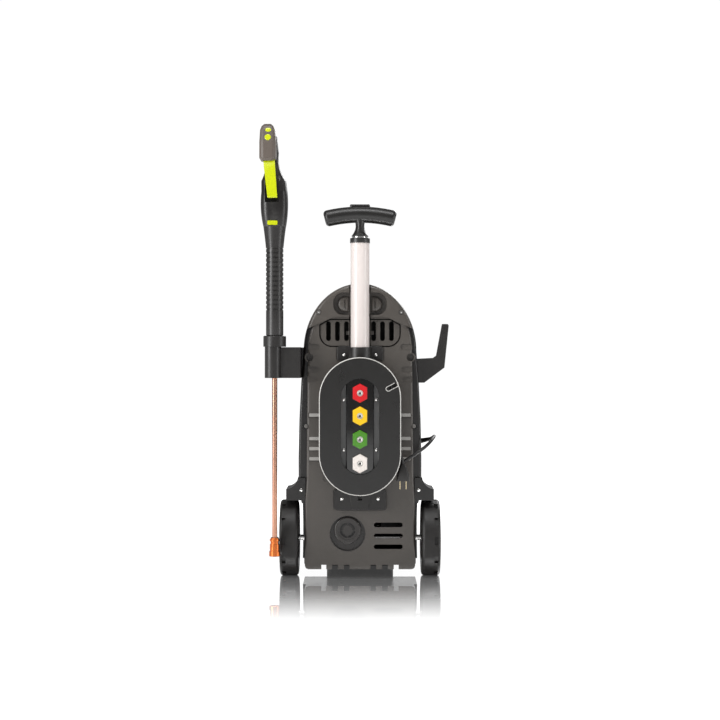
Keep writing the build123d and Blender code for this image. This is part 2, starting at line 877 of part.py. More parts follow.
def make_wheel(side, name):
    """Hard hub with twelve pockets near its outer shoulder, and the tyre around it."""
    inner = side * wheel_inner_x
    outer = side * wheel_outer_x
    middle = (inner + outer) / 2
    width = wheel_outer_x - wheel_inner_x
    centred = Plane(origin=(middle, axle_y, axle_z), x_dir=(0, 1, 0), z_dir=(side, 0, 0))
    with BuildPart() as tyre:
        with BuildSketch(centred.offset(-width / 2)):
            Circle(wheel_r)
            Circle(hub_outer_r + 0.05, mode=Mode.SUBTRACT)
        extrude(amount=width)
        fillet(tyre.edges().filter_by(lambda e: e.length > 500), 7)
        with BuildSketch(centred.offset(width / 2 - 13)):
            with PolarLocations(wheel_r, 12):
                Rectangle(9, 17)
        extrude(amount=8, mode=Mode.SUBTRACT)
    save(tyre.part, f"tyre_{name}")
    with BuildPart() as hub:
        with BuildSketch(centred.offset(-width / 2)):
            Circle(hub_outer_r)
        extrude(amount=width - 1)
        for face in (hub.faces().sort_by(Axis.X)[0], hub.faces().sort_by(Axis.X)[-1]):
            chamfer(face.edges(), 1)
        with BuildSketch(centred.offset(width / 2 - 1)):
            with PolarLocations(38, 6):
                RectangleRounded(26, 24, 5)
        extrude(amount=-12, mode=Mode.SUBTRACT)
        with BuildSketch(centred.offset(width / 2 - 1)):
            Circle(15)
        extrude(amount=0.9)
        with BuildSketch(centred.offset(-width / 2)):
            Circle(axle_r + bore_fit)
        extrude(amount=162 - wheel_inner_x + 0.5, mode=Mode.SUBTRACT)
    save(hub.part, f"wheel_hub_{name}")


make_wheel(-1, "left")
make_wheel(1, "right")

# ---------------------------------------------------------------- telescopic handle
bar_z = 775.6  # centre of the grip bar on the centre plane
bow_r = 305
bar_half = 76.2
bar_angle = math.degrees(bar_half / bow_r)
button_top_z = 797.5


def tube_block(radius, low, high):
    """A cylinder on the handle's axis between two heights."""

    def draw():
        with Locations((0, tube_y)):
            Circle(radius)

    return block(Plane.XY.offset(low), high - low, draw)


with BuildPart() as outer_tube:
    add(tube_block(tube_r, tube_bottom_z, tube_top_z))
    add(tube_block(inner_r + 0.08, tube_bottom_z - 1, tube_top_z + 1), mode=Mode.SUBTRACT)
save(outer_tube.part, "outer_tube")

with BuildPart() as tube_ring:
    add(tube_block(tube_r + 1.2, tube_top_z - 6, tube_top_z + 4.5))
    fillet(tube_ring.faces().sort_by(Axis.Z)[-1].edges(), 1.2)
    add(tube_block(tube_r + 0.02, tube_top_z - 7, tube_top_z), mode=Mode.SUBTRACT)
    add(tube_block(inner_r + 0.08, tube_top_z - 1, tube_top_z + 6), mode=Mode.SUBTRACT)
save(tube_ring.part, "tube_ring")

with BuildPart() as inner_tube:
    add(tube_block(inner_r, 480, 732))
    add(tube_block(14.5, 479, 733), mode=Mode.SUBTRACT)
save(inner_tube.part, "inner_tube")

bar_start = Vector(-bow_r * math.sin(math.radians(bar_angle)), tube_y,
                   bar_z - bow_r + bow_r * math.cos(math.radians(bar_angle)))
bar_tangent = Vector(math.cos(math.radians(bar_angle)), 0, math.sin(math.radians(bar_angle)))

with BuildPart() as grip_body:
    with BuildSketch(Plane(origin=bar_start, x_dir=(0, 1, 0), z_dir=bar_tangent)):
        Ellipse(16.5, 17.4)
    revolve(axis=Axis((0, tube_y, bar_z - bow_r), (0, 1, 0)), revolution_arc=2 * bar_angle)
    fillet(grip_body.edges(), 8)
    with BuildSketch(Plane.XY.offset(731)):
        with Locations((0, tube_y)):
            Circle(17.6)
    with BuildSketch(Plane.XY.offset(748)):
        with Locations((0, tube_y)):
            Ellipse(9.5, 13.5)
    with BuildSketch(Plane.XY.offset(772)):
        with Locations((0, tube_y)):
            Ellipse(17, 14)
    loft()
    add(tube_block(17.6, 728.5, 731.1))
    add(tube_block(inner_r + 0.02, 720, 732), mode=Mode.SUBTRACT)
    add(tube_block(14.45, 700, 733))
    with BuildSketch(Plane.XY.offset(782)):
        with Locations((0, tube_y)):
            RectangleRounded(43.6, 14.6, 4)
    extrude(amount=30, mode=Mode.SUBTRACT)
save(grip_body.part, "grip_body")

with BuildPart() as release_button:
    with BuildSketch(Plane.XY.offset(786)):
        with Locations((0, tube_y)):
            RectangleRounded(43, 14, 3.7)
    extrude(amount=button_top_z - 786)
    fillet(release_button.faces().sort_by(Axis.Z)[-1].edges(), 2.5)
save(release_button.part, "release_button")

# ---------------------------------------------------------------- spray gun and lance
sleeve_low_z = 517.3
sleeve_high_z = 702
rib_pitch = 9.9
rib_low_z = 571
collar_top_z = 747
pivot_y = lance_y - 15
pivot_z = 893


def lance_block(radius, low, high):
    """A cylinder on the lance's axis between two heights."""

    def draw():
        with Locations((lance_x, lance_y)):
            Circle(radius)

    return block(Plane.XY.offset(low), high - low, draw)


def oval(x, y, z, half_x, half_y):
    """One cross-section of the gun: a rounded rectangle at height z."""
    with BuildSketch(Plane.XY.offset(z)) as section:
        with Locations((x, y)):
            RectangleRounded(2 * half_x, 2 * half_y, 0.62 * min(half_x, half_y))
    return section.sketch


def gun_outline():
    """Solid outer form of the gun, from the lance collar up to the head."""
    with BuildPart() as body:
        loft([oval(lance_x, lance_y, 747, 23.6, 23.6), oval(lance_x - 0.4, lance_y, 772, 27.3, 26.5),
              oval(lance_x - 0.4, lance_y + 2, 820, 27.3, 27)])
        loft([oval(lance_x - 0.4, lance_y + 2, 820, 27.3, 27), oval(lance_x - 2, lance_y + 5, 843, 26, 25)])
        loft([oval(lance_x - 2, lance_y + 5, 843, 26, 25), oval(-184.5, lance_y + 11, 873, 14.5, 18),
              oval(-185.5, lance_y + 12, 905, 13.5, 17)])
        loft([oval(-185.5, lance_y + 12, 905, 13.5, 17), oval(-187.5, lance_y + 12, 938, 12, 15)])
    return body.part


trigger_room = block(side_plane(-199.5), 29, lambda: Polygon(
    (-330, 797), (lance_y - 2, 797), (lance_y + 2, 850), (lance_y - 6, 882), (lance_y - 6, 960), (-330, 960)))
gun_split = Plane(origin=(lance_x, lance_y, 747), x_dir=(0, 1, 0), z_dir=(190, 0, 9.5))

with BuildPart() as gun_body:
    add(gun_outline())
    add(trigger_room, mode=Mode.SUBTRACT)
    add(lance_block(11, 752, 796), mode=Mode.SUBTRACT)
    add(lance_block(5.7, 740, 755), mode=Mode.SUBTRACT)
    with BuildSketch(rear_plane(lance_y - 19)):
        with Locations((-183.5, 753.5)):
            RectangleRounded(21.8, 9.8, 2.4)
    extrude(amount=14, mode=Mode.SUBTRACT)

with BuildPart() as gun_shell_left:
    add(gun_body.part)
    split(bisect_by=gun_split, keep=Keep.BOTTOM)
save(gun_shell_left.part, "gun_shell_left")

with BuildPart() as gun_shell_right:
    add(gun_body.part)
    split(bisect_by=gun_split, keep=Keep.TOP)
save(gun_shell_right.part, "gun_shell_right")

with BuildPart() as gun_valve:
    add(lance_block(10.9, 755.1, 795))
save(gun_valve.part, "gun_valve")

with BuildPart() as grip_cover:
    loft([oval(-193.75, lance_y - 12, 884, 14, 14.5), oval(-193.75, lance_y - 12, 890, 17.7, 18)], ruled=True)
    loft([oval(-193.75, lance_y - 12, 890, 17.7, 18), oval(-193.75, lance_y - 11, 925, 17.7, 17)], ruled=True)
    loft([oval(-193.75, lance_y - 11, 925, 17.7, 17), oval(-194.3, lance_y - 8, 950, 15.8, 14)], ruled=True)
    loft([oval(-194.3, lance_y - 8, 950, 15.8, 14), oval(-194.4, lance_y - 6, 958, 12.6, 11)], ruled=True)
    loft([oval(-194.4, lance_y - 6, 958, 12.6, 11), oval(-194.4, lance_y - 5, 962.6, 7.5, 7)], ruled=True)
    add(gun_outline(), mode=Mode.SUBTRACT)
    add(block(side_plane(-204), 26, lambda: Polygon(
        (-306.5, 870), (-305, 884), (-303.2, 894), (-303.2, 902), (pivot_y + 8, 902), (pivot_y + 12, 893),
        (pivot_y + 12, 870))), mode=Mode.SUBTRACT)
    with BuildSketch(side_plane(-208)):
        with Locations((pivot_y, pivot_z)):
            Circle(2)
    extrude(amount=32)
save(grip_cover.part, "grip_cover")

with BuildPart() as trigger:
    with BuildSketch(side_plane(-203.5)):
        Polygon((pivot_y - 4, 892), (-313, 862), (-318, 830), (-320.5, 805), (-311, 805), (-308, 832),
                (-303, 862), (pivot_y + 3, 884))
        with Locations((pivot_y, pivot_z)):
            Circle(6)
    extrude(amount=31)
    with BuildSketch(rear_plane(-280)):
        Polygon((-203, 900), (-180, 900), (-179, 884), (-172.8, 805), (-193.3, 805), (-203, 884))
    extrude(amount=60, mode=Mode.INTERSECT)
    fillet(trigger.edges().filter_by(Axis.X).sort_by(Axis.Z)[0:2], 2)
    with BuildSketch(side_plane(-206)):
        with Locations((pivot_y, pivot_z)):
            Circle(2.08)
    extrude(amount=30, mode=Mode.SUBTRACT)
save(trigger.part, "trigger")

with BuildPart() as lock_tab:
    with BuildSketch(rear_plane(lance_y - 22)):
        with Locations((-183.5, 753.5)):
            RectangleRounded(21, 9, 2)
    extrude(amount=8.5)
save(lock_tab.part, "lock_tab")

with BuildPart() as lance_collar:
    with BuildSketch(Plane.XY.offset(sleeve_high_z)):
        with Locations((lance_x, lance_y)):
            Circle(18.5)
    with BuildSketch(Plane.XY.offset(738)):
        with Locations((lance_x, lance_y)):
            Circle(22.6)
    with BuildSketch(Plane.XY.offset(collar_top_z)):
        with Locations((lance_x, lance_y)):
            Circle(23.8)
    loft()
    add(lance_block(5.55, 700, 750), mode=Mode.SUBTRACT)
save(lance_collar.part, "lance_collar")

with BuildPart() as lance_sleeve:
    add(lance_block(18.3, sleeve_low_z, sleeve_high_z))
    chamfer(lance_sleeve.faces().sort_by(Axis.Z)[0].edges(), 1.2)
    for rib in range(14):
        low = rib_low_z + rib * rib_pitch
        with BuildSketch(Plane.XY.offset(low)):
            with Locations((lance_x, lance_y)):
                Circle(20)
                Circle(17, mode=Mode.SUBTRACT)
        extrude(amount=3.2, mode=Mode.SUBTRACT)
    add(lance_block(5.55, 500, 710), mode=Mode.SUBTRACT)
save(lance_sleeve.part, "lance_sleeve")

with BuildPart() as lance_tube:
    add(lance_block(5.5, 78.1, 755))
    add(lance_block(2.2, 70, 760), mode=Mode.SUBTRACT)
save(lance_tube.part, "lance_tube")

with BuildPart() as coupler_body:
    add(lance_block(9, 54, 92))
    chamfer(coupler_body.faces().sort_by(Axis.Z)[-1].edges(), 1.5)
    add(lance_block(10.5, 84, 88))
    add(lance_block(5.53, 77, 100), mode=Mode.SUBTRACT)
    add(lance_block(6, 50, 78), mode=Mode.SUBTRACT)
save(coupler_body.part, "coupler_body")

with BuildPart() as coupler_collar:
    add(lance_block(10.4, 52, 77.5))
    add(lance_block(11.85, 52, 62))
    chamfer(coupler_collar.edges().filter_by(GeomType.CIRCLE).group_by(Axis.Z)[0], 0.8)
    add(lance_block(9.08, 51, 80), mode=Mode.SUBTRACT)
save(coupler_collar.part, "coupler_collar")
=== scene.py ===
"""Looks of the upright pressure washer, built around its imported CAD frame. All lengths are in metres."""
import json
import math

import bpy
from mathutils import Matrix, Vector


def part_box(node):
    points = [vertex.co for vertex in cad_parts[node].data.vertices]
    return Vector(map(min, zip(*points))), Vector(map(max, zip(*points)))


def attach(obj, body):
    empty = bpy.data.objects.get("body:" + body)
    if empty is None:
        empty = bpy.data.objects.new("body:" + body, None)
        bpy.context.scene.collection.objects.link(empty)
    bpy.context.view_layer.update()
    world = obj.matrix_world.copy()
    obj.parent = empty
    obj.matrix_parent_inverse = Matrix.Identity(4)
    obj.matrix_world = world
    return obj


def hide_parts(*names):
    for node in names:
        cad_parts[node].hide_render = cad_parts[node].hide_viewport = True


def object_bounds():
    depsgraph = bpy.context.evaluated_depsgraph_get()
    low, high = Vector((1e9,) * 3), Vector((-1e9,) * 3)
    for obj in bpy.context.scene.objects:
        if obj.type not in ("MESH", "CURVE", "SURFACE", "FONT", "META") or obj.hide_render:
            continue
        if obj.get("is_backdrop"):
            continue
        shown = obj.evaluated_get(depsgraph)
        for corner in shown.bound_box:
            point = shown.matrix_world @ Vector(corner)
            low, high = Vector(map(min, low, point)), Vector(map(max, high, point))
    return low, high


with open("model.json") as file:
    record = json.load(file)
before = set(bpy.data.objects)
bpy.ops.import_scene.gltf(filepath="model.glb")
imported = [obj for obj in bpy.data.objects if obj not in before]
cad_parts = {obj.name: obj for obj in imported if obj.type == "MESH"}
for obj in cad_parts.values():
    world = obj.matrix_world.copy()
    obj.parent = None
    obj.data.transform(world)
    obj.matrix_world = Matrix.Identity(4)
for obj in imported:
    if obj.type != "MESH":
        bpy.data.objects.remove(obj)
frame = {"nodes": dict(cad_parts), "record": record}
CAD_LOW, CAD_HIGH = (Vector(corner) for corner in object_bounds())
NODES = frame["nodes"]
MM = 0.001


def centre(node):
    """Middle of a CAD node's box."""
    low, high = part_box(node)
    return (Vector(low) + Vector(high)) / 2


def size(node):
    """Lengths of the sides of a CAD node's box."""
    low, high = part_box(node)
    return Vector(high) - Vector(low)


# ------------------------------------------------------------------ camera
LENS = 85
SENSOR = 36
VIEW_WIDTH = 1.524  # what the frame spans at VIEW_PLANE
VIEW_HEIGHT = 0.466  # the camera looks level from this height
PLATE_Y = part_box("winder_plate")[0][1]
VIEW_PLANE = PLATE_Y + 0.045  # where the frame spans VIEW_WIDTH

camera_data = bpy.data.cameras.new("camera")
camera_data.lens = LENS
camera_data.sensor_width = SENSOR
camera = bpy.data.objects.new("camera", camera_data)
camera.location = (0, VIEW_PLANE - VIEW_WIDTH * LENS / SENSOR, VIEW_HEIGHT)
camera.rotation_euler = (math.radians(90), 0, 0)
bpy.context.collection.objects.link(camera)
bpy.context.scene.camera = camera

# ------------------------------------------------------------------ power cord
CORD_D = 7 * MM
CORD_PITCH = 7.05 * MM
LEAD_ROUTE = [
    (136.5, -128, 289),
    (150, -140, 292),
    (159, -166, 298),
    (161, -200, 303),
    (156, -234, 298),
    (143, -261, 285),
    (122, -277, 270.5),
    (97, -281, 255),
    (74, -279, 238),
    (62, -278, 230),
]
TAIL_ROUTE = [
    (71.5, -297, 312),
    (73, -299, 292),
    (81, -300.5, 273),
    (88.5, -300, 259),
    (90.3, -300, 246),
]
JOIN_ROUTE = [(43, -278, 221), (22, -278, 217.6)]  # from the lead on to the hub
# How many turns each layer has, by the row of each turn; row 0 is the one nearest the machine.
LAYERS = [(0, 1, 2, 3, 4), (4, 3, 2, 1), (1, 2, 3, 4), (4, 3, 2)]
INNER_TURN_R = 49.6 * MM
ARC_STEPS = 8
CROSSING = 0.25  # a turn crosses to the next row this share of the straight run from each end

plate_centre = centre("winder_plate")
TURN_MIDDLE = plate_centre.z
TURN_STRAIGHT = size("winder_plate").z - size("winder_plate").x  # between the centres of the two round ends
ROW_ZERO_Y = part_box("cord_winding")[1][1] - CORD_D / 2 - 0.1 * MM
arc_step = math.pi / ARC_STEPS
ARC_SWELL = 1 / (0.75 + 0.25 * math.cos(arc_step))  # the spline runs this much inside its arc points


def metres(route):
    return [tuple(c * MM for c in point) for point in route]


def arc_points(radius, y, middle_z, start, end, count):
    """Points on a round end, its angle going from start to end in degrees."""
    points = []
    for i in range(count + 1):
        angle = math.radians(start + (end - start) * i / count)
        reach = radius * ARC_SWELL
        points.append((reach * math.cos(angle), y, middle_z + reach * math.sin(angle)))
    return points


def winding_points():
    """The wound length: from the bottom of the hub up its left side, over the top and down its right side."""
    turns = [(INNER_TURN_R + layer * CORD_PITCH, ROW_ZERO_Y - row * CORD_PITCH)
             for layer, rows in enumerate(LAYERS) for row in rows]
    low, high = TURN_MIDDLE - TURN_STRAIGHT / 2, TURN_MIDDLE + TURN_STRAIGHT / 2
    points = []
    for i, (radius, y) in enumerate(turns):
        points += arc_points(radius, y, low, -90, -180, ARC_STEPS // 2)
        points.append((-radius, y, TURN_MIDDLE))
        points += arc_points(radius, y, high, 180, 0, ARC_STEPS)
        if i + 1 < len(turns):
            next_radius, next_y = turns[i + 1]
            points.append((radius, y, high - TURN_STRAIGHT * CROSSING))
            points.append((next_radius, next_y, low + TURN_STRAIGHT * CROSSING))
            points += arc_points(next_radius, next_y, low, 0, -67.5, 3)
    return points


def spline_curve(name, points, radius, resolution=8):
    """A round tube along one smooth spline."""
    data = bpy.data.curves.new(name, "CURVE")
    data.dimensions = "3D"
    data.bevel_depth = radius
    data.bevel_resolution = 4
    data.resolution_u = resolution
    data.use_fill_caps = True
    spline = data.splines.new("NURBS")
    spline.points.add(len(points) - 1)
    for point, place in zip(spline.points, points):
        point.co = (*place, 1)
    spline.order_u = 3
    spline.use_endpoint_u = True
    piece = bpy.data.objects.new(name, data)
    bpy.context.collection.objects.link(piece)
    return piece


cord_points = metres(LEAD_ROUTE) + metres(JOIN_ROUTE) + winding_points() + metres(TAIL_ROUTE)
power_cord = spline_curve("power_cord", cord_points, CORD_D / 2)


def line_of(curve_object):
    """The points of a curve's own smooth line."""
    bare = curve_object.data.copy()
    bare.bevel_depth = 0
    holder = bpy.data.objects.new("line_reader", bare)
    mesh = bpy.data.meshes.new_from_object(holder)
    places = [v.co.copy() for v in mesh.vertices]
    bpy.data.objects.remove(holder)
    bpy.data.curves.remove(bare)
    bpy.data.meshes.remove(mesh)
    return places


cord_line = line_of(power_cord)


# ------------------------------------------------------------------ materials
def new_material(name):
    """A node material, its nodes and its links."""
    material = bpy.data.materials.new(name)
    material.use_nodes = True
    return material, material.node_tree.nodes, material.node_tree.links


def noise_node(nodes, links, scale, detail=4, stretch=(1, 1, 1)):
    """Noise in the object's own coordinates, stretched along its axes."""
    coordinates = nodes.new("ShaderNodeTexCoord")
    mapping = nodes.new("ShaderNodeMapping")
    mapping.inputs["Scale"].default_value = stretch
    noise = nodes.new("ShaderNodeTexNoise")
    noise.inputs["Scale"].default_value = scale
    noise.inputs["Detail"].default_value = detail
    links.new(coordinates.outputs["Object"], mapping.inputs["Vector"])
    links.new(mapping.outputs["Vector"], noise.inputs["Vector"])
    return noise


def ramp_node(nodes, links, source, stops):
    """Colour ramp over the source's first output; stops are (position, colour)."""
    ramp = nodes.new("ShaderNodeValToRGB")
    elements = ramp.color_ramp.elements
    for element, (position, colour) in zip(elements, (stops[0], stops[-1])):
        element.position = position
        element.color = colour
    for position, colour in stops[1:-1]:
        elements.new(position).color = colour
    links.new(source.outputs[0], ramp.inputs["Fac"])
    return ramp


def grey(value):
    return (value, value, value, 1)


PALE_EDGE_FROM, PALE_EDGE_TO = 0.53, 0.62  # pointiness where the paler edge starts and is complete


def surface(name, colour, rough, metallic=0.0, grain=1400, bump=0.12, depth=0.00012, patch=9, vary=0.12,
            rough_vary=0.03, stretch=(1, 1, 1), specular=0.5, coat=0.0, pale_edge=0.0):
    """A moulded, painted or turned surface: fine grain, slow patches of colour and gloss, and paler edges."""
    material, nodes, links = new_material(name)
    shader = nodes["Principled BSDF"]
    shader.inputs["Metallic"].default_value = metallic
    shader.inputs["Specular IOR Level"].default_value = specular
    shader.inputs["Coat Weight"].default_value = coat
    shader.inputs["Coat Roughness"].default_value = 0.08
    patches = noise_node(nodes, links, patch, 5)
    dark = (*[c * (1 - vary) for c in colour], 1)
    light = (*[min(1, c * (1 + vary)) for c in colour], 1)
    tint = ramp_node(nodes, links, patches, [(0.3, dark), (0.7, light)])
    source = tint.outputs["Color"]
    # Lighter colour on convex edges, found by pointiness.
    if pale_edge > 0:
        geometry = nodes.new("ShaderNodeNewGeometry")
        edge = nodes.new("ShaderNodeMapRange")
        edge.inputs["From Min"].default_value = PALE_EDGE_FROM
        edge.inputs["From Max"].default_value = PALE_EDGE_TO
        edge.inputs["To Max"].default_value = pale_edge
        links.new(geometry.outputs["Pointiness"], edge.inputs["Value"])
        mix = nodes.new("ShaderNodeMix")
        mix.data_type = "RGBA"
        pale = [min(1, c * 1.6 + 0.06) for c in colour]
        mix.inputs["B"].default_value = (*pale, 1)
        links.new(edge.outputs["Result"], mix.inputs["Factor"])
        links.new(source, mix.inputs["A"])
        source = mix.outputs["Result"]
    links.new(source, shader.inputs["Base Color"])
    smudges = noise_node(nodes, links, patch * 4, 6)
    gloss = ramp_node(nodes, links, smudges,
                      [(0.3, grey(max(0.02, rough - rough_vary))), (0.7, grey(rough + rough_vary))])
    links.new(gloss.outputs["Color"], shader.inputs["Roughness"])
    fine = noise_node(nodes, links, grain, 3, stretch)
    relief = nodes.new("ShaderNodeBump")
    relief.inputs["Strength"].default_value = bump
    relief.inputs["Distance"].default_value = depth
    links.new(fine.outputs["Fac"], relief.inputs["Height"])
    links.new(relief.outputs["Normal"], shader.inputs["Normal"])
    return material


def linear(red, green, blue):
    """Screen colour, 0 to 255, as linear light."""
    return tuple((c / 255) ** 2.2 for c in (red, green, blue))


ALONG_Z = (1, 1, 0.04)
MATERIALS = {
    "panel_plastic": surface("panel_plastic", linear(72, 68, 64), 0.32, grain=2600, bump=0.3),
    "shell_plastic": surface("shell_plastic", linear(26, 24, 23), 0.3, grain=2200, bump=0.25),
    "plate_plastic": surface("plate_plastic", linear(26, 25, 24), 0.3, grain=3000, bump=0.16),
    "gloss_black": surface("gloss_black", linear(18, 17, 17), 0.08, grain=500, bump=0.03, coat=0.6),
    "rail_grey": surface("rail_grey", linear(96, 96, 96), 0.34, grain=2200, bump=0.2),
    "bracket_black": surface("bracket_black", linear(30, 28, 27), 0.38, grain=1900, bump=0.3),
    "tube_white": surface("tube_white", linear(205, 196, 192), 0.3, grain=1600, bump=0.05, vary=0.03,
                          coat=0.3),
    "inner_steel": surface("inner_steel", (0.72, 0.71, 0.7), 0.2, 1.0, grain=900, bump=0.1, stretch=ALONG_Z),
    "grip_black": surface("grip_black", linear(26, 25, 24), 0.36, grain=1500, bump=0.35, pale_edge=0.3),
    "button_black": surface("button_black", linear(28, 27, 26), 0.16, grain=900, bump=0.05, coat=0.4),
    "gun_black": surface("gun_black", linear(27, 25, 24), 0.34, grain=1900, bump=0.28, pale_edge=0.4),
    "cover_brown": surface("cover_brown", linear(84, 76, 70), 0.45, grain=1900, bump=0.35, pale_edge=0.3),
    "accent_yellow": surface("accent_yellow", linear(176, 186, 2), 0.26, grain=1500, bump=0.08,
                             vary=0.06, coat=0.3),
    "lance_steel": surface("lance_steel", linear(176, 132, 112), 0.22, 1.0, grain=1200, bump=0.16,
                           stretch=ALONG_Z),
    "tip_copper": surface("tip_copper", linear(190, 104, 58), 0.22, 1.0, grain=1500, bump=0.14, vary=0.2),
    "valve_brass": surface("valve_brass", (0.72, 0.52, 0.24), 0.25, 1.0, grain=1500, bump=0.12),
    "core_steel": surface("core_steel", (0.55, 0.53, 0.5), 0.3, 1.0, grain=2400, bump=0.2),
    "screw_steel": surface("screw_steel", (0.22, 0.21, 0.2), 0.34, 1.0, grain=2600, bump=0.25),
    "axle_steel": surface("axle_steel", (0.62, 0.61, 0.6), 0.22, 1.0, grain=1200, bump=0.1),
    "nozzle_red": surface("nozzle_red", linear(190, 16, 26), 0.24, grain=1500, bump=0.08, vary=0.06,
                          coat=0.3),
    "nozzle_yellow": surface("nozzle_yellow", linear(226, 178, 4), 0.24, grain=1500, bump=0.08,
                             vary=0.05, coat=0.3),
    "nozzle_green": surface("nozzle_green", linear(62, 122, 20), 0.24, grain=1500, bump=0.08, vary=0.06,
                            coat=0.3),
    "nozzle_white": surface("nozzle_white", linear(214, 206, 200), 0.26, grain=1500, bump=0.08,
                            vary=0.03, coat=0.3),
    "cord_rubber": surface("cord_rubber", linear(30, 29, 29), 0.42, grain=2600, bump=0.3),
    "plug_rubber": surface("plug_rubber", linear(34, 33, 32), 0.4, grain=2200, bump=0.3, pale_edge=0.3),
    "blade_brass": surface("blade_brass", (0.66, 0.56, 0.36), 0.25, 1.0, grain=2500, bump=0.12),
    "tyre_rubber": surface("tyre_rubber", linear(30, 28, 27), 0.5, grain=1500, bump=0.5, vary=0.2),
    "wheel_plastic": surface("wheel_plastic", linear(30, 28, 27), 0.36, grain=1900, bump=0.25),
    "foot_rubber": surface("foot_rubber", linear(34, 33, 32), 0.6, grain=1600, bump=0.5),
    "motor_metal": surface("motor_metal", linear(96, 96, 98), 0.35, 0.6, grain=1200, bump=0.15),
    "rotor_steel": surface("rotor_steel", (0.45, 0.45, 0.44), 0.35, 1.0, grain=1200, bump=0.2),
    "pump_aluminium": surface("pump_aluminium", (0.6, 0.6, 0.59), 0.42, 1.0, grain=1500, bump=0.4),
    "inlet_plastic": surface("inlet_plastic", linear(44, 41, 39), 0.28, grain=2000, bump=0.14),
}
# Painted highlight: near white for the black plate's bevelled edges, where they catch the light.
MATERIALS["painted_highlight_white"] = surface("painted_highlight_white", linear(188, 186, 182), 0.3, grain=2000, bump=0.1)
# Painted highlight: light grey for the sloping laps, where they catch light from above.
MATERIALS["painted_highlight_band"] = surface("painted_highlight_band", linear(150, 148, 144), 0.4, grain=2400, bump=0.2)
# Painted shade: near black for the shadowed openings of the inlet's windows.
MATERIALS["painted_shade_void"] = surface("painted_shade_void", linear(9, 9, 9), 0.6, grain=1500, bump=0.1)
MATERIALS["bright_screw"] = surface("bright_screw", (0.78, 0.77, 0.75), 0.18, 1.0, grain=2600, bump=0.1)

for part in frame["record"]["subparts"]:
    NODES[part["node"]].data.materials.clear()
    NODES[part["node"]].data.materials.append(MATERIALS[part["material_slot"]])


# ------------------------------------------------------------------ small tools for new pieces
def finish_piece(piece, material, body, smooth=True):
    """Give a new piece its material and the body it rides on."""
    piece.data.materials.clear()
    piece.data.materials.append(MATERIALS[material])
    if smooth and piece.type == "MESH":
        piece.data.polygons.foreach_set("use_smooth", [True] * len(piece.data.polygons))
    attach(piece, body)
    return piece


def mesh_object(name, vertices, faces):
    data = bpy.data.meshes.new(name)
    data.from_pydata([tuple(v) for v in vertices], [], faces)
    data.validate()
    piece = bpy.data.objects.new(name, data)
    bpy.context.collection.objects.link(piece)
    return piece


def lofted(name, rings):
    """A tube of equal rings of points, closed at both ends."""
    count = len(rings[0])
    vertices = [p for ring in rings for p in ring]
    faces = []
    for r in range(len(rings) - 1):
        for i in range(count):
            j = (i + 1) % count
            faces.append((r * count + i, r * count + j, (r + 1) * count + j, (r + 1) * count + i))
    faces.append(tuple(reversed(range(count))))
    faces.append(tuple((len(rings) - 1) * count + i for i in range(count)))
    return mesh_object(name, vertices, faces)


def turned(name, origin, axis, profile, segments=48):
    """A turned piece: profile holds (distance along the axis, radius)."""
    direction = Vector(axis).normalized()
    across = direction.orthogonal().normalized()
    other = direction.cross(across)
    rings = []
    for along, radius in profile:
        ring = []
        for i in range(segments):
            angle = 2 * math.pi * i / segments
            ring.append(Vector(origin) + direction * along
                        + (across * math.cos(angle) + other * math.sin(angle)) * radius)
        rings.append(ring)
    return lofted(name, rings)


def soften(piece, width=0.0006, segments=2, angle=30):
    """Rounded edges on a hard piece."""
    weld = piece.modifiers.new("weld", "WELD")
    weld.merge_threshold = 1e-6
    bevel = piece.modifiers.new("bevel", "BEVEL")
    bevel.width = width
    bevel.segments = segments
    bevel.limit_method = "ANGLE"
    bevel.angle_limit = math.radians(angle)
    bevel.use_clamp_overlap = True
    piece.modifiers.new("normals", "WEIGHTED_NORMAL")


# ------------------------------------------------------------------ cord: material and boot
power_cord.data.materials.append(MATERIALS["cord_rubber"])
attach(power_cord, "root")
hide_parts("cord_lead", "cord_tail", "cord_winding")

BOOT_LENGTH = 0.024
BOOT_GROOVES = 9
BOOT_STATIONS = 4 * BOOT_GROOVES  # a groove and its rib take four stations
BOOT_WIDE_R = 5.6 * MM
BOOT_THIN_R = 4.0 * MM
BOOT_GROOVE_DEPTH = 0.45 * MM
BOOT_SEGMENTS = 24


def cord_boot():
    """Tapered strain relief with grooves, along the cord's first stretch."""
    line = cord_line
    rings = []
    travelled = 0.0
    k = 0
    for number in range(BOOT_STATIONS + 1):
        station = BOOT_LENGTH * number / BOOT_STATIONS
        while k + 2 < len(line) and travelled + (line[k + 1] - line[k]).length < station:
            travelled += (line[k + 1] - line[k]).length
            k += 1
        run = line[k + 1] - line[k]
        place = line[k] + run.normalized() * (station - travelled)
        across = run.cross(Vector((0, 0, 1))).normalized()
        up = across.cross(run).normalized()
        share = station / BOOT_LENGTH
        radius = BOOT_WIDE_R * (1 - share) + BOOT_THIN_R * share
        if number % 4 in (1, 2) and 0.1 < share < 0.95:
            radius -= BOOT_GROOVE_DEPTH
        rings.append([place + (across * math.cos(a) + up * math.sin(a)) * radius
                      for a in (2 * math.pi * i / BOOT_SEGMENTS for i in range(BOOT_SEGMENTS))])
    return finish_piece(lofted("cord_boot", rings), "plug_rubber", "root")


boot = cord_boot()


# ------------------------------------------------------------------ rounded edges on the CAD nodes
SOFTENED = {
    "winder_plate": 0.0008, "nozzle_tray": 0.0008, "lower_bracket": 0.0008, "side_hook": 0.0012,
    "lance_holder": 0.001, "handle_collar": 0.0008, "vent_grille": 0.0006, "well_rails": 0.0006,
    "trigger": 0.001, "lock_tab": 0.0006, "grip_cover": 0.001, "power_knob": 0.0008,
}
for node, width in SOFTENED.items():
    soften(NODES[node], width)
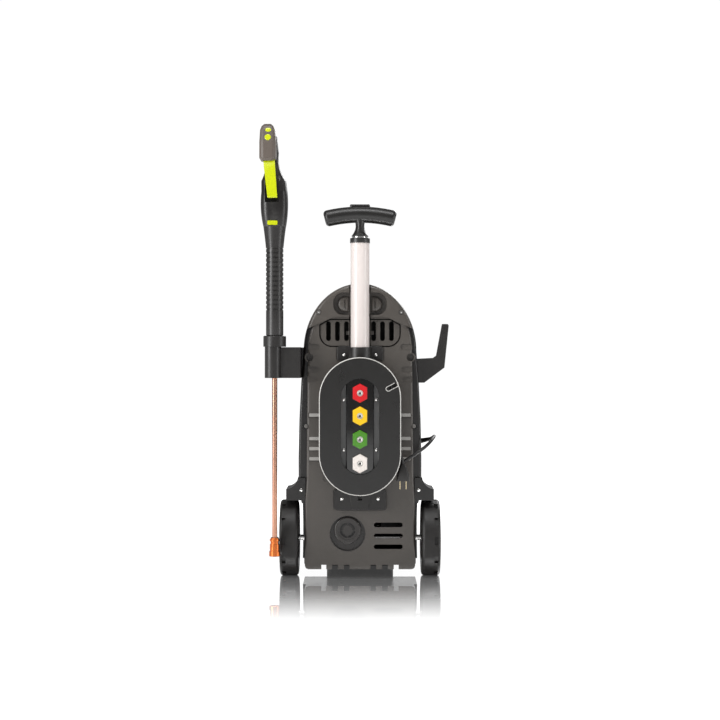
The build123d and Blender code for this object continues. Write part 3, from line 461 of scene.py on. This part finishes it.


# ------------------------------------------------------------------ bright rim of the winder plate, a painted highlight
def racetrack_ring(radius, y, steps=24):
    """Closed upright racetrack of points about the winder's centre."""
    points = []
    for middle, start in ((TURN_MIDDLE + TURN_STRAIGHT / 2, 0), (TURN_MIDDLE - TURN_STRAIGHT / 2, 180)):
        for i in range(steps + 1):
            angle = math.radians(start + 180 * i / steps)
            points.append(Vector((radius * math.cos(angle), y, middle + radius * math.sin(angle))))
    return points


def racetrack_bead(name, profile):
    """A closed bead round the plate; profile holds (radius, y) pairs of its cross-section."""
    rings = [racetrack_ring(radius, y) for radius, y in profile]
    count = len(rings[0])
    vertices = [p for ring in rings for p in ring]
    faces = []
    for r in range(len(rings)):
        s = (r + 1) % len(rings)
        for i in range(count):
            j = (i + 1) % count
            faces.append((r * count + i, r * count + j, s * count + j, s * count + i))
    return mesh_object(name, vertices, faces)


PLATE_R = size("winder_plate").x / 2
RIM_SECTION = [  # (radius, y)
    (PLATE_R + 0.2 * MM, PLATE_Y + 4 * MM),
    (PLATE_R + 0.2 * MM, PLATE_Y + 1.2 * MM),
    (PLATE_R - 0.4 * MM, PLATE_Y + 0.1 * MM),
    (PLATE_R - 1.5 * MM, PLATE_Y - 0.2 * MM),
    (PLATE_R - 2.2 * MM, PLATE_Y + 0.6 * MM),
]
# The bead's white is a painted highlight on the plate's black edge.
rim = racetrack_bead("plate_rim", RIM_SECTION)
finish_piece(rim, "painted_highlight_white", "root")


# ------------------------------------------------------------------ yellow dots on the grip cover
RAY_START = 0.1  # how far behind the whole object a ray begins
DOT_PROUD = 0.5 * MM


def rear_face(node, x, z):
    """Where a line along +Y through (x, z) first meets a CAD node from behind."""
    hit, place = NODES[node].ray_cast(Vector((x, CAD_LOW.y - RAY_START, z)), Vector((0, 1, 0)))[:2]
    return place.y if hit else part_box(node)[0][1]


def oval_button(name, node, x, z, half_width, half_height, proud, slot, body):
    """A crowned oval that stands a little proud of a node's rear face, following the face's slope."""
    rings = []
    for level, share in ((-2 * MM, 1), (0.5 * proud, 1), (0.85 * proud, 0.86), (proud, 0.55), (proud, 0.2)):
        ring = []
        for i in range(40):
            angle = 2 * math.pi * i / 40
            place_x = x + half_width * share * math.cos(angle)
            place_z = z + half_height * share * math.sin(angle)
            ring.append(Vector((place_x, rear_face(node, place_x, place_z) - level, place_z)))
        rings.append(ring)
    return finish_piece(lofted(name, rings), slot, body)


# Each dot's middle, as x and z, and half its width and height.
DOTS = {"upper": (-0.1926, 0.949, 0.0062, 0.0046), "lower": (-0.1933, 0.933, 0.0066, 0.0066)}
for word, dot in DOTS.items():
    oval_button(f"grip_dot_{word}", "grip_cover", *dot, DOT_PROUD, "accent_yellow", "spray_gun")


# ------------------------------------------------------------------ floor of the finger recess
RECESS_Z = 0.585
RECESS_DEPTH = 16 * MM
RECESS_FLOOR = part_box("top_cap")[0][1] + RECESS_DEPTH
PAD_INNER = 24.5 * MM  # clear of the handle's channel
PAD_OUTER = 48 * MM
PAD_HALF = 16.5 * MM  # half the height of a pad
# Outlines of a pad from its buried base up, in mm: how far inside the widest one, and height over the floor.
PAD_PROFILE = ((0, -0.5), (0, 3.6), (0.7, 5.4), (2.2, 6.8), (5, 7.8), (8.5, 8.2))


def pad_ring(side, trim, lift, steps=12):
    """One outline of a half pad: straight beside the handle, round at its outer end."""
    half_height = PAD_HALF - trim
    turn_x = PAD_OUTER - PAD_HALF
    points = [Vector((side * (PAD_INNER + trim), RECESS_FLOOR - lift, RECESS_Z - half_height))]
    for i in range(steps + 1):
        angle = math.radians(-90 + 180 * i / steps)
        points.append(Vector((side * (turn_x + half_height * math.cos(angle)), RECESS_FLOOR - lift,
                              RECESS_Z + half_height * math.sin(angle))))
    points.append(Vector((side * (PAD_INNER + trim), RECESS_FLOOR - lift, RECESS_Z + half_height)))
    return points if side > 0 else points[::-1]


for side, word in ((-1, "left"), (1, "right")):
    pad_rings = [pad_ring(side, trim * MM, lift * MM) for trim, lift in PAD_PROFILE]
    finish_piece(lofted(f"recess_pad_{word}", pad_rings), "panel_plastic", "root")


# ------------------------------------------------------------------ pale bands on the cover's laps, a painted highlight
BAND_TOPS = (0.353, 0.303, 0.2816, 0.26)
BAND_DROP = 8 * MM  # height of the sloping face of a lap
BAND_PROUD = 3.6 * MM  # how far its lower edge stands out
BAND_START = 0.8 * MM  # from the lap's top to the band
BAND_LIFT = 0.5 * MM  # the band's thickness over the lap
# How far out each cross-section is, and how much it is trimmed, which rounds the band's ends.
BAND_STATIONS = ((0.0475, 0.6 * MM), (0.048, 0.2 * MM), (0.107, 0.2 * MM), (0.108, 0.9 * MM))
COVER_Y = -0.245  # the cover's rear face between the laps


def lap_highlight_band(name, side, top):
    """A strip of painted highlight laid on one sloping lap, between the winder plate and the casing's edge.
    """
    rings = []
    for x, trim in BAND_STATIONS:
        section = ((BAND_START + trim, 0.1 * MM), (BAND_START + trim, BAND_LIFT),
                   (BAND_DROP - trim, BAND_LIFT), (BAND_DROP - trim, -0.6 * MM))
        ring = []
        for down, lift in section:
            ring.append(Vector((side * x, COVER_Y - BAND_PROUD * down / BAND_DROP - lift, top - down)))
        rings.append(ring)
    return finish_piece(lofted(name, rings), "painted_highlight_band", "root", smooth=False)


for number, top in enumerate(BAND_TOPS, start=1):
    lap_highlight_band(f"lap_band_left_{number}", -1, top)
    lap_highlight_band(f"lap_band_right_{number}", 1, top)


# ------------------------------------------------------------------ nozzle mouths
def nozzle_mouth(colour):
    """A turned steel lip round the hole in the middle of each nozzle; the hole is a gloss black disc of
    painted shade.
    """
    node = f"nozzle_core_{colour}"
    middle = centre(node)
    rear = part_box(node)[0][1]
    body = f"nozzle_{colour}"
    lip = turned(f"nozzle_lip_{colour}", (middle.x, rear, middle.z), (0, -1, 0),
                 [(-1 * MM, 5.6 * MM), (0.5 * MM, 5.6 * MM), (1.1 * MM, 5.1 * MM), (1.1 * MM, 4.3 * MM),
                  (0.3 * MM, 3.4 * MM), (0.2 * MM, 0.4 * MM)], 36)
    finish_piece(lip, "core_steel", body)
    # Painted shade: a gloss black disc stands for the shadowed hole.
    hole = turned(f"nozzle_hole_{colour}", (middle.x, rear - 0.1 * MM, middle.z), (0, -1, 0),
                  [(0, 2.4 * MM), (0.3 * MM, 2.4 * MM), (0.35 * MM, 0.5 * MM)], 24)
    finish_piece(hole, "gloss_black", body)


for colour in ("red", "yellow", "green", "white"):
    nozzle_mouth(colour)


# ------------------------------------------------------------------ arc windows of the water inlet, painted shade
WINDOW_INNER = 13.4 * MM
WINDOW_OUTER = 17.2 * MM
WINDOW_HALF_DEPTH = 0.5 * MM
WINDOW_START = 8  # degrees from each quarter to its window
WINDOW_SWEEP = 74  # degrees
WINDOW_STEPS = 12


def inlet_windows():
    """Four curved windows between the inlet's centre disc and its collar, laid on as thin black slabs of
    painted shade.
    """
    middle = centre("inlet_collar")
    rear = rear_face("inlet_socket", middle.x, middle.z)
    for number in range(4):
        start = 90 * number + WINDOW_START
        rings = []
        for step in range(WINDOW_STEPS + 1):
            angle = math.radians(start + WINDOW_SWEEP * step / WINDOW_STEPS)
            spoke = Vector((math.cos(angle), 0, math.sin(angle)))
            seat = Vector((middle.x, rear, middle.z))
            rings.append([seat + spoke * radius + Vector((0, level, 0)) for radius, level in
                          ((WINDOW_INNER, WINDOW_HALF_DEPTH), (WINDOW_INNER, -WINDOW_HALF_DEPTH),
                           (WINDOW_OUTER, -WINDOW_HALF_DEPTH), (WINDOW_OUTER, WINDOW_HALF_DEPTH))])
        window = lofted(f"inlet_window_{number + 1}", rings)
        finish_piece(window, "painted_shade_void", "root", smooth=False)


inlet_windows()

# ------------------------------------------------------------------ pale lip of the cord notch, a painted highlight
# The notch is a slot with a round end, centred on NOTCH_END, that runs out to the rim.
NOTCH_END = Vector((58.9 * MM, 0, 405.6 * MM))
NOTCH_ANGLE = math.radians(27.6)
NOTCH_RUN = Vector((math.cos(NOTCH_ANGLE), 0, math.sin(NOTCH_ANGLE)))
NOTCH_SIDE = Vector((-math.sin(NOTCH_ANGLE), 0, math.cos(NOTCH_ANGLE)))
NOTCH_HALF = 4.6 * MM  # half the slot's width
NOTCH_UPPER = 17.5 * MM  # length of its upper side
NOTCH_LOWER = 21.5 * MM  # and of its lower side
NOTCH_STEPS = 8
lip_path = [NOTCH_END + NOTCH_RUN * NOTCH_UPPER + NOTCH_SIDE * NOTCH_HALF]
for step in range(NOTCH_STEPS + 1):
    angle = math.radians(90 + 180 * step / NOTCH_STEPS)
    lip_path.append(NOTCH_END + NOTCH_RUN * NOTCH_HALF * math.cos(angle)
                    + NOTCH_SIDE * NOTCH_HALF * math.sin(angle))
lip_path.append(NOTCH_END + NOTCH_RUN * NOTCH_LOWER - NOTCH_SIDE * NOTCH_HALF)
# Cross-section of the lip: distance outward and depth from the plate's face.
LIP_SECTION = ((-0.5 * MM, 1.5 * MM), (-0.5 * MM, -0.1 * MM), (0.7 * MM, -0.2 * MM), (1 * MM, 1.5 * MM))
lip_rings = []
for place in lip_path:
    outward = (place - NOTCH_END - NOTCH_RUN * max(0, (place - NOTCH_END).dot(NOTCH_RUN))).normalized()
    lip_rings.append([place + outward * across + Vector((0, PLATE_Y + level, 0))
                      for across, level in LIP_SECTION])
# Its pale colour is a painted highlight on the notch's edge in the black plate.
finish_piece(lofted("notch_lip", lip_rings), "painted_highlight_white", "root", smooth=False)


# ------------------------------------------------------------------ screw heads
HEAD_R = 3.4 * MM
HEAD_SINK = 1.6 * MM  # how deep its base lies inside the CAD screw
BESIDE_RECESS = 1.7 * MM  # the ray goes this far above the middle, clear of the driver's recess


def screw_head(name, x, z, face_y, radius):
    """A domed bright head."""
    profile = [(0, radius), (0.8 * MM, radius), (1.6 * MM, radius * 0.86), (2.1 * MM, radius * 0.5),
               (2.2 * MM, radius * 0.2)]
    head = turned(name, (x, face_y, z), (0, -1, 0), profile, 28)
    return finish_piece(head, "bright_screw", "root")


HEADS = [(side * x, z) for side in (-1, 1)
         for x, z in ((0.088, 0.568), (0.0335, 0.4765), (0.0342, 0.2767), (0.0342, 0.383), (0.0384, 0.1706),
                      (0.1255, 0.188))]
for number, (x, z) in enumerate(HEADS, start=1):
    start = Vector((x, CAD_LOW.y - RAY_START, z + BESIDE_RECESS))
    hit, place = NODES["screws"].ray_cast(start, Vector((0, 1, 0)))[:2]
    if hit:
        screw_head(f"screw_head_{number}", x, z, place.y + HEAD_SINK, HEAD_R)

# ------------------------------------------------------------------ floor, lights and surroundings
FLOOR_SPAN = 14
GLOSS_NEAR = 0.3  # up to this distance from the origin the floor mirrors most
GLOSS_FAR = 1.25  # and not at all from here on
GLOW_FAR = 2.2  # the floor is evenly white from here on
SURROUND = 0.25  # brightness of the room as the object sees it
BACKDROP = 1.02  # and as the camera and mirror-like surfaces see it
MIRROR_NEAR = 0.92  # the floor's share of mirror near the object
GLOW_NEAR = 0.5  # its emission there

bpy.context.scene.view_settings.view_transform = "Standard"
bpy.ops.mesh.primitive_plane_add(size=FLOOR_SPAN)
floor = bpy.context.object
floor.name = "floor"
floor_material, floor_nodes, floor_links = new_material("floor")
floor_shader = floor_nodes["Principled BSDF"]
floor_shader.inputs["Base Color"].default_value = (0.95, 0.95, 0.95, 1)
floor_shader.inputs["Roughness"].default_value = 0.6
floor_shader.inputs["Specular IOR Level"].default_value = 0.0
floor_shader.inputs["Emission Color"].default_value = (1, 1, 1, 1)
floor_mirror = floor_nodes.new("ShaderNodeBsdfGlossy")
floor_mirror.inputs["Color"].default_value = (1, 1, 1, 1)
floor_mirror.inputs["Roughness"].default_value = 0.0
floor_place = floor_nodes.new("ShaderNodeNewGeometry")
floor_distance = floor_nodes.new("ShaderNodeVectorMath")
floor_distance.operation = "LENGTH"
floor_links.new(floor_place.outputs["Position"], floor_distance.inputs[0])
floor_fade = floor_nodes.new("ShaderNodeMapRange")
floor_fade.interpolation_type = "SMOOTHSTEP"
floor_fade.inputs["From Min"].default_value = GLOSS_NEAR
floor_fade.inputs["From Max"].default_value = GLOSS_FAR
floor_fade.inputs["To Min"].default_value = MIRROR_NEAR
floor_fade.inputs["To Max"].default_value = 0.0
floor_links.new(floor_distance.outputs["Value"], floor_fade.inputs["Value"])
floor_glow = floor_nodes.new("ShaderNodeMapRange")
floor_glow.inputs["From Min"].default_value = GLOSS_NEAR
floor_glow.inputs["From Max"].default_value = GLOW_FAR
floor_glow.inputs["To Min"].default_value = GLOW_NEAR
floor_glow.inputs["To Max"].default_value = 1.0
floor_links.new(floor_distance.outputs["Value"], floor_glow.inputs["Value"])
floor_links.new(floor_glow.outputs["Result"], floor_shader.inputs["Emission Strength"])
floor_mix = floor_nodes.new("ShaderNodeMixShader")
floor_links.new(floor_fade.outputs["Result"], floor_mix.inputs["Fac"])
floor_links.new(floor_shader.outputs["BSDF"], floor_mix.inputs[1])
floor_links.new(floor_mirror.outputs["BSDF"], floor_mix.inputs[2])
floor_links.new(floor_mix.outputs["Shader"], floor_nodes["Material Output"].inputs["Surface"])
floor.data.materials.append(floor_material)
floor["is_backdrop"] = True

world = bpy.data.worlds.new("studio")
bpy.context.scene.world = world
world.use_nodes = True
sky = world.node_tree.nodes["Background"]
sky.inputs["Color"].default_value = (1, 1, 1, 1)
sky.inputs["Strength"].default_value = SURROUND
backdrop = world.node_tree.nodes.new("ShaderNodeBackground")
backdrop.inputs["Color"].default_value = (1, 1, 1, 1)
backdrop.inputs["Strength"].default_value = BACKDROP
ray = world.node_tree.nodes.new("ShaderNodeLightPath")
sky_mix = world.node_tree.nodes.new("ShaderNodeMixShader")
sees_white = world.node_tree.nodes.new("ShaderNodeMath")
sees_white.operation = "MAXIMUM"
world.node_tree.links.new(ray.outputs["Is Camera Ray"], sees_white.inputs[0])
world.node_tree.links.new(ray.outputs["Is Singular Ray"], sees_white.inputs[1])
world.node_tree.links.new(sees_white.outputs["Value"], sky_mix.inputs["Fac"])
world.node_tree.links.new(sky.outputs["Background"], sky_mix.inputs[1])
world.node_tree.links.new(backdrop.outputs["Background"], sky_mix.inputs[2])
world.node_tree.links.new(sky_mix.outputs["Shader"], world.node_tree.nodes["World Output"].inputs["Surface"])


def area_light(name, place, target, width, height, power):
    """A soft rectangular lamp aimed at a point."""
    data = bpy.data.lights.new(name, "AREA")
    data.shape = "RECTANGLE"
    data.size = width
    data.size_y = height
    data.energy = power
    lamp = bpy.data.objects.new(name, data)
    lamp.location = place
    lamp.rotation_euler = (Vector(target) - Vector(place)).to_track_quat("-Z", "Y").to_euler()
    bpy.context.collection.objects.link(lamp)
    return lamp


AIM = (0, -0.2, 0.45)
area_light("key", (-2.3, -1.9, 1.2), AIM, 0.7, 2.0, 62)
area_light("fill", (2.6, -1.2, 0.9), AIM, 0.4, 2.0, 18)
area_light("top", (0, -1.1, 2.5), AIM, 1.8, 0.5, 30)
area_light("rim", (1.2, 1.9, 1.8), AIM, 1.6, 0.8, 30)
